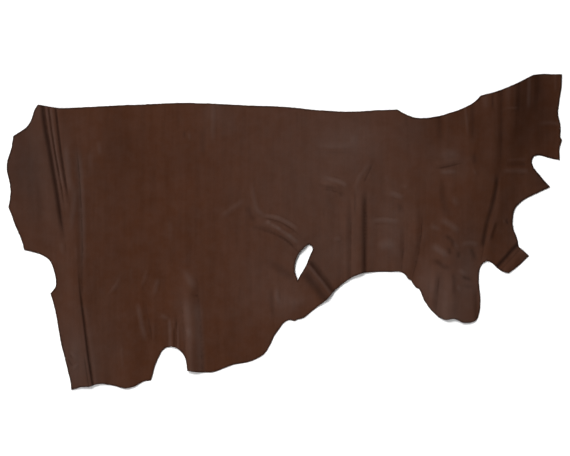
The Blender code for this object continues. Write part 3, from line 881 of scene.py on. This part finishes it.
# %% Group: uneven dye
dye_group, given, gives = new_group(
    "uneven dye",
    [("Place", "Vector", None), ("Cloud Size", "Float", 0.15), ("Streak Width", "Float", 0.01)],
    ["Cloud", "Streak"])
cloud_scale = math_of(dye_group, "DIVIDE", 1.0, given["Cloud Size"])
cloud = add(dye_group, "TexNoise", {"Vector": given["Place"], "Scale": cloud_scale, "Detail": 4.0,
                                    "Roughness": 0.65})
dye_group.links.new(mapped(dye_group, cloud.outputs["Fac"], 0.3, 0.7), gives["Cloud"])
streak_scale = math_of(dye_group, "DIVIDE", 1.0, given["Streak Width"])
long_way = add(dye_group, "Mapping", {"Vector": given["Place"], "Scale": (1.0, 0.06, 1.0)})
streak = add(dye_group, "TexNoise", {"Vector": long_way.outputs[0], "Scale": streak_scale, "Detail": 3.0,
                                     "Roughness": 0.6})
dye_group.links.new(mapped(dye_group, streak.outputs["Fac"], 0.3, 0.7), gives["Streak"])
print("group:", dye_group.name)

# %% [markdown]
# ## Crest and trough
#
# The relief stored on the points is turned into two masks, one for crests and one for troughs. Noise breaks
# both up unevenly. The grain side uses them: crests for rubbed wear and a painted highlight, troughs for
# painted shade.

# %% Group: crest and trough
crest_trough_group, given, gives = new_group(
    "crest and trough",
    [("Place", "Vector", None), ("Relief", "Float", 0.0), ("Full Relief", "Float", 0.6)],
    ["Crest", "Trough"])
patchy = add(crest_trough_group, "TexNoise", {"Vector": given["Place"], "Scale": 45.0, "Detail": 3.0})
patchy = mapped(crest_trough_group, patchy.outputs["Fac"], 0.25, 0.6, 0.45, 1.0)
share = math_of(crest_trough_group, "DIVIDE", given["Relief"], given["Full Relief"])
crest = mapped(crest_trough_group, share, 0.12, 1.0)
trough = mapped(crest_trough_group, math_of(crest_trough_group, "MULTIPLY", share, -1.0), 0.12, 1.0)
crest_trough_group.links.new(math_of(crest_trough_group, "MULTIPLY", crest, patchy), gives["Crest"])
crest_trough_group.links.new(math_of(crest_trough_group, "MULTIPLY", trough, patchy), gives["Trough"])
print("group:", crest_trough_group.name)

# %% [markdown]
# ## The grain
#
# The grain of cowhide is a net of fine furrows around pebbles about a millimetre wide, with hair pores
# along them. Over it lies a looser wrinkle of a few millimetres. Voronoi cells give the pebbles: the
# distance to a cell's border falls to zero in the furrows. Warping the place by noise first keeps the
# cells from looking like tiles.

# %% Group: grain
grain, given, gives = new_group(
    "leather grain",
    [("Place", "Vector", None), ("Pebble Size", "Float", 0.0012), ("Wrinkle Size", "Float", 0.007)],
    ["Pebble", "Pore", "Wrinkle"])
warp = add(grain, "TexNoise", {"Vector": given["Place"], "Scale": 300.0, "Detail": 2.0})
warp = add(grain, "VectorMath", {0: warp.outputs["Color"], 1: (0.5, 0.5, 0.5)}, operation="SUBTRACT")
warp = add(grain, "VectorMath", {0: warp.outputs[0], "Scale": 0.0016}, operation="SCALE")
warp = add(grain, "VectorMath", {0: given["Place"], 1: warp.outputs[0]}, operation="ADD").outputs[0]
pebble_scale = math_of(grain, "DIVIDE", 1.0, given["Pebble Size"])
pebble = add(grain, "TexVoronoi", {"Vector": warp, "Scale": pebble_scale}, feature="DISTANCE_TO_EDGE")
grain.links.new(mapped(grain, pebble.outputs["Distance"], 0.0, 0.35), gives["Pebble"])
pore_scale = math_of(grain, "MULTIPLY", pebble_scale, 0.4)
pore = add(grain, "TexVoronoi", {"Vector": warp, "Scale": pore_scale, "Randomness": 1.0}, feature="F1")
grain.links.new(mapped(grain, pore.outputs["Distance"], 0.08, 0.2, 1.0, 0.0), gives["Pore"])
wrinkle_scale = math_of(grain, "DIVIDE", 1.0, given["Wrinkle Size"])
wrinkle = add(grain, "TexNoise", {"Vector": warp, "Scale": wrinkle_scale, "Detail": 3.0, "Roughness": 0.6})
grain.links.new(wrinkle.outputs["Fac"], gives["Wrinkle"])
print("group:", grain.name)

# %% [markdown]
# ## Fibre
#
# Below the grain a hide is a felt of fibres. On the flesh side they stand up as a soft nap, and on the
# cut edge they show in layers. One group of stretched noise serves both, with another size and another
# stretch.

# %% Group: fibre
fibre, given, gives = new_group(
    "leather fibre",
    [("Place", "Vector", None), ("Stretch", "Vector", (1.0, 1.0, 1.0)), ("Fibre Size", "Float", 0.001)],
    ["Nap", "Height"])
combed = add(fibre, "VectorMath", {0: given["Place"], 1: given["Stretch"]}, operation="MULTIPLY").outputs[0]
fibre_scale = math_of(fibre, "DIVIDE", 1.0, given["Fibre Size"])
hairs = add(fibre, "TexNoise", {"Vector": combed, "Scale": fibre_scale, "Detail": 5.0, "Roughness": 0.7,
                                "Distortion": 0.6})
tufts_scale = math_of(fibre, "MULTIPLY", fibre_scale, 0.08)
tufts = add(fibre, "TexNoise", {"Vector": combed, "Scale": tufts_scale, "Detail": 4.0})
fibre.links.new(mapped(fibre, tufts.outputs["Fac"], 0.3, 0.7), gives["Nap"])
fibre.links.new(hairs.outputs["Fac"], gives["Height"])
print("group:", fibre.name)

# %% [markdown]
# ## The grain side
#
# The finish is dark chocolate brown, satin and not shiny. The colour is built in layers: a base, clouds
# and streaks of dye, a mottled grey film of painted sheen, the stored dye and painted shade, crests
# rubbed lighter with a painted highlight, painted shade in the troughs, and darker pores. The roughness
# follows: crests are smoother and troughs duller. Light that glances off leather this matt is weak, so the
# shader's specular level is low. The grain is too fine for geometry, so it is bump.

# %% Material: grain side
BROWN = (0.0441, 0.0161, 0.0080, 1)
DEEP_BROWN = (0.0228, 0.0083, 0.0041, 1)
WARM_BROWN = (0.0520, 0.0197, 0.0105, 1)
RUBBED_AND_HIGHLIGHT_BROWN = (0.0600, 0.0320, 0.0242, 1)
SHADE_BROWN = (0.0140, 0.0048, 0.0026, 1)
# grey added for each unit of painted sheen
PAINTED_SHEEN_GREY = (0.028, 0.028, 0.028)
MOTTLING = 0.06
DARKEST = 0.3


def new_material(name):
    """A material with its node tree, its shader and the place on the hide in metres."""
    material = bpy.data.materials.new(name)
    material.use_nodes = True
    tree = material.node_tree
    place = tree.nodes.new("ShaderNodeTexCoord").outputs["Object"]
    return material, tree, tree.nodes["Principled BSDF"], place


def stored(tree, name):
    """A number that is stored on the mesh's points."""
    return add(tree, "Attribute", attribute_name=name, attribute_type="GEOMETRY").outputs["Fac"]


grain_side, tree, shader, place = new_material("leather, grain side")
dyed = placed(tree, dye_group, Place=place, Cloud_Size=0.16, Streak_Width=0.018)
crest_trough = placed(tree, crest_trough_group, Place=place, Relief=stored(tree, "relief"), Full_Relief=0.7)
skin = placed(tree, grain, Place=place, Pebble_Size=0.0012, Wrinkle_Size=0.008)

colour = blended(tree, math_of(tree, "MULTIPLY", dyed["Cloud"], 0.3), BROWN, DEEP_BROWN)
colour = blended(tree, math_of(tree, "MULTIPLY", dyed["Streak"], 0.4), colour, WARM_BROWN)
# painted sheen: a grey film with a random mottle, added where the satin finish would mirror light
mottled = placed(tree, dye_group, Place=place, Cloud_Size=0.05)["Cloud"]
mottled = mapped(tree, mottled, 0.0, 1.0, -MOTTLING, MOTTLING, smooth=False)
painted_sheen_film = math_of(tree, "ADD", stored(tree, "bloom"), mottled)
painted_sheen_film = add(tree, "VectorMath", {0: PAINTED_SHEEN_GREY, "Scale": painted_sheen_film}, operation="SCALE").outputs[0]
colour = add(tree, "VectorMath", {0: colour, 1: painted_sheen_film}, operation="ADD").outputs[0]
# the stored dye and painted shade scale the colour darker or lighter
shade = math_of(tree, "MAXIMUM", math_of(tree, "ADD", stored(tree, "dye"), 1.0), DARKEST)
colour = add(tree, "VectorMath", {0: colour, "Scale": shade}, operation="SCALE").outputs[0]
# crests paler: partly rubbed wear, partly a painted highlight
colour = blended(tree, math_of(tree, "MULTIPLY", crest_trough["Crest"], 0.15), colour, RUBBED_AND_HIGHLIGHT_BROWN)
# troughs darker: painted shade
colour = blended(tree, math_of(tree, "MULTIPLY", crest_trough["Trough"], 0.6), colour, SHADE_BROWN)
colour = blended(tree, math_of(tree, "MULTIPLY", skin["Pore"], 0.5), colour, SHADE_BROWN)
tree.links.new(colour, shader.inputs["Base Color"])

gloss = mapped(tree, dyed["Cloud"], 0.0, 1.0, 0.49, 0.55)
gloss = math_of(tree, "SUBTRACT", gloss, math_of(tree, "MULTIPLY", crest_trough["Crest"], 0.08))
gloss = math_of(tree, "ADD", gloss, math_of(tree, "MULTIPLY", crest_trough["Trough"], 0.15))
tree.links.new(gloss, shader.inputs["Roughness"])

pebbled = add(tree, "Bump", {"Height": skin["Pebble"], "Strength": 0.4, "Distance": 0.00008})
pored = add(tree, "Bump", {"Height": skin["Pore"], "Strength": 0.5, "Distance": 0.0001,
                           "Normal": pebbled.outputs[0]}, invert=True)
wrinkled = add(tree, "Bump", {"Height": skin["Wrinkle"], "Strength": 0.6, "Distance": 0.0004,
                              "Normal": pored.outputs[0]})
tree.links.new(wrinkled.outputs[0], shader.inputs["Normal"])
shader.inputs["Specular IOR Level"].default_value = 0.036
print("material:", grain_side.name)

# %% [markdown]
# ## The flesh side
#
# The underside was next to the flesh. It is split level and buffed, so it has a short suede nap, duller
# and lighter than the grain, with the same dye soaked in unevenly. Sheen on the shader gives the soft
# light that nap catches at a low angle.

# %% Material: flesh side
SUEDE = (0.105, 0.058, 0.037, 1)
DARK_SUEDE = (0.070, 0.036, 0.022, 1)
PALE_SUEDE = (0.150, 0.092, 0.062, 1)

flesh_side, tree, shader, place = new_material("leather, flesh side")
dyed = placed(tree, dye_group, Place=place, Cloud_Size=0.09, Streak_Width=0.006)
nap = placed(tree, fibre, Place=place, Stretch=(1.0, 0.35, 1.0), Fibre_Size=0.0011)
colour = blended(tree, dyed["Cloud"], SUEDE, DARK_SUEDE)
colour = blended(tree, math_of(tree, "MULTIPLY", nap["Nap"], 0.4), colour, PALE_SUEDE)
colour = blended(tree, math_of(tree, "MULTIPLY", dyed["Streak"], 0.3), colour, DARK_SUEDE)
colour = blended(tree, mapped(tree, nap["Height"], 0.35, 0.7, 0.0, 0.35), colour, PALE_SUEDE)
tree.links.new(colour, shader.inputs["Base Color"])
tree.links.new(mapped(tree, nap["Nap"], 0.0, 1.0, 0.82, 0.95), shader.inputs["Roughness"])
raised = add(tree, "Bump", {"Height": nap["Height"], "Strength": 0.7, "Distance": 0.0006})
tree.links.new(raised.outputs[0], shader.inputs["Normal"])
shader.inputs["Sheen Weight"].default_value = 0.25
shader.inputs["Sheen Roughness"].default_value = 0.5
shader.inputs["Specular IOR Level"].default_value = 0.2
print("material:", flesh_side.name)

# %% [markdown]
# ## The cut edge
#
# A knife cut shows the leather's inside: a thin dark line of finished grain on top, and brown fibre
# below. This finish draws only the fibre. The layers run level, so the fibre is stretched along the hide
# and not down it.

# %% Material: cut edge
EDGE_BROWN = (0.050, 0.026, 0.017, 1)
EDGE_FIBRE = (0.105, 0.062, 0.042, 1)

cut_edge, tree, shader, place = new_material("leather, cut edge")
layers = placed(tree, fibre, Place=place, Stretch=(1.0, 1.0, 6.0), Fibre_Size=0.0012)
dyed = placed(tree, dye_group, Place=place, Cloud_Size=0.04, Streak_Width=0.004)
colour = blended(tree, layers["Height"], EDGE_BROWN, EDGE_FIBRE)
colour = blended(tree, math_of(tree, "MULTIPLY", dyed["Cloud"], 0.6), colour, EDGE_BROWN)
tree.links.new(colour, shader.inputs["Base Color"])
tree.links.new(mapped(tree, layers["Nap"], 0.0, 1.0, 0.75, 0.92), shader.inputs["Roughness"])
raised = add(tree, "Bump", {"Height": layers["Height"], "Strength": 0.8, "Distance": 0.0004})
tree.links.new(raised.outputs[0], shader.inputs["Normal"])
shader.inputs["Specular IOR Level"].default_value = 0.25
print("material:", cut_edge.name)

# %% [markdown]
# ## Dress the sheet
#
# The three finishes go on in the order of the faces' numbers. The faces are shaded smooth, but the rim
# keeps hard corners, or the light would roll over the edge as on a cushion. Then the sheet takes the
# solid's place.

SHARP = math.radians(50)

for finish in (grain_side, flesh_side, cut_edge):
    mesh.materials.append(finish)
mesh.shade_smooth()
mesh.set_sharp_from_angle(angle=SHARP)

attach(leather, "root")
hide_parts("hide")

# %% [markdown]
# ## Floor, light and camera
#
# The floor is plain and pale, so that the dark leather stands out cleanly. Folds this low only show in
# light that comes from the side, so one wide soft lamp stands beyond the butt and the back, and a weaker
# one fills from the other side. The surroundings are pale at the horizon and dim overhead, because satin
# leather mirrors what is above it and would look grey under a white ceiling. The camera looks straight
# down from high up.

# %% Floor
FLOOR_SIZE = 60.0
FLOOR_DROP = 0.0003

bpy.ops.mesh.primitive_plane_add(size=FLOOR_SIZE, location=(0, 0, -FLOOR_DROP))
floor = bpy.context.object
floor.name = "floor"
pale = bpy.data.materials.new("pale floor")
pale.use_nodes = True
pale.node_tree.nodes["Principled BSDF"].inputs["Base Color"].default_value = (0.9, 0.9, 0.9, 1)
pale.node_tree.nodes["Principled BSDF"].inputs["Roughness"].default_value = 0.9
pale.node_tree.nodes["Principled BSDF"].inputs["Specular IOR Level"].default_value = 0.1
floor.data.materials.append(pale)
print("floor side:", FLOOR_SIZE, "m")

# %% Light
Lamp = namedtuple("Lamp", "name place size power")
LAMPS = (
    Lamp("key from the back and butt", (-11.0, 15.6, 15.6), 10.0, 9000),
    Lamp("fill from the butt and belly", (-18.0, -10.0, 11.0), 14.0, 3200),
)


def lamp_made(lamp):
    """A square soft lamp that faces the middle of the hide."""
    light = bpy.data.lights.new(lamp.name, "AREA")
    light.size = lamp.size
    light.energy = lamp.power
    made = bpy.data.objects.new(lamp.name, light)
    made.location = lamp.place
    made.rotation_euler = (-Vector(lamp.place)).to_track_quat("-Z", "Y").to_euler()
    bpy.context.scene.collection.objects.link(made)


for lamp in LAMPS:
    lamp_made(lamp)

world = bpy.data.worlds.new("studio")
bpy.context.scene.world = world
world.use_nodes = True
sky = world.node_tree
direction = add(sky, "TexCoord").outputs["Generated"]
up = add(sky, "SeparateXYZ", {0: direction}).outputs["Z"]
strength = mapped(sky, up, 0.05, 0.75, 1.15, 0.07)
sky.links.new(strength, sky.nodes["Background"].inputs["Strength"])
sky.nodes["Background"].inputs["Color"].default_value = (1, 1, 1, 1)
bpy.context.scene.view_settings.view_transform = "Standard"
print(len(LAMPS), "lamps")

# %% Camera
PHOTO_SIZE = (570, 456)
METRES_PER_PIXEL = 0.004
LENS = 110.0
SENSOR = 36.0
VIEW_CENTRE = (0.002, 0.016)

camera_height = PHOTO_SIZE[0] * METRES_PER_PIXEL * LENS / SENSOR
camera = bpy.data.objects.new("camera", bpy.data.cameras.new("camera"))
camera.data.lens = LENS
camera.data.sensor_width = SENSOR
camera.location = (*VIEW_CENTRE, camera_height)
bpy.context.scene.collection.objects.link(camera)
bpy.context.scene.camera = camera
print(f"the camera is {camera_height:.2f} m above the floor")
